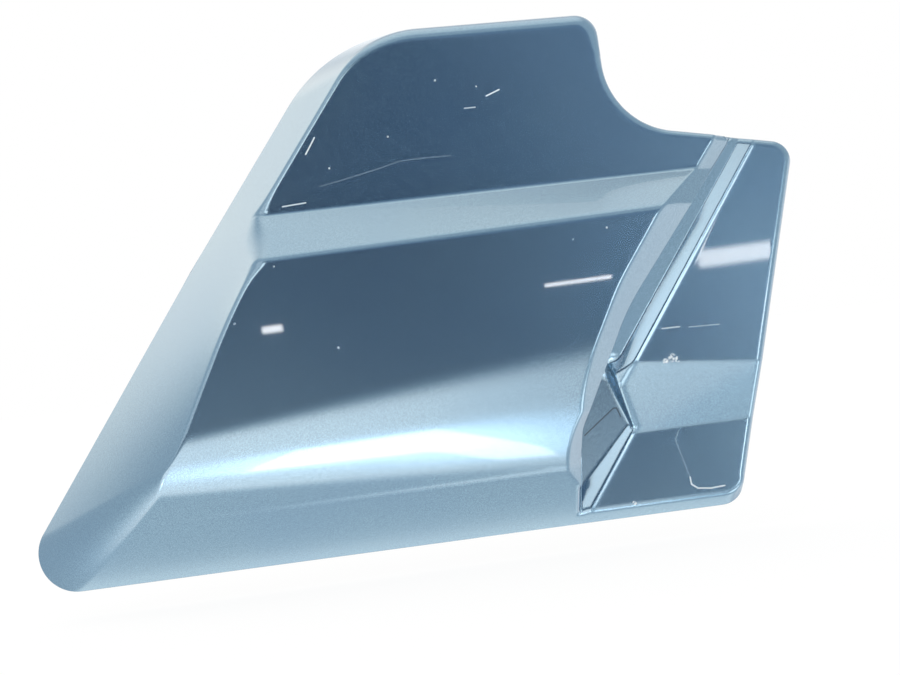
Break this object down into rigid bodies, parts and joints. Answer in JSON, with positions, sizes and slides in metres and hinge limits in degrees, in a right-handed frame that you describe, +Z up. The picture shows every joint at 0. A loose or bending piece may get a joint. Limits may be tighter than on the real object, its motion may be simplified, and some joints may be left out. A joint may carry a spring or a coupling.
{
  "type": "motorcycle side cover",
  "caption": "Painted moulded side cover for a touring motorcycle: raised bulge with a sloping strip, diagonal valley, stepped rear plates, and push-in posts behind.",
  "frame": {"origin": "centre of the upper post where its pin leaves the shoulder, on the back of the cover", "axes": "as fitted on the left of the motorcycle: +X rearward along the bottom edge, +Z up, -Y outward, so the posts point along +Y into the motorcycle"},
  "size_m": [0.4121, 0.0715, 0.2649],
  "materials": {
    "paint": "dark slate blue metallic paint under gloss clear coat"
  },
  "bodies": {
    "root": {"side_cover": "paint"}
  },
  "joints": []
}
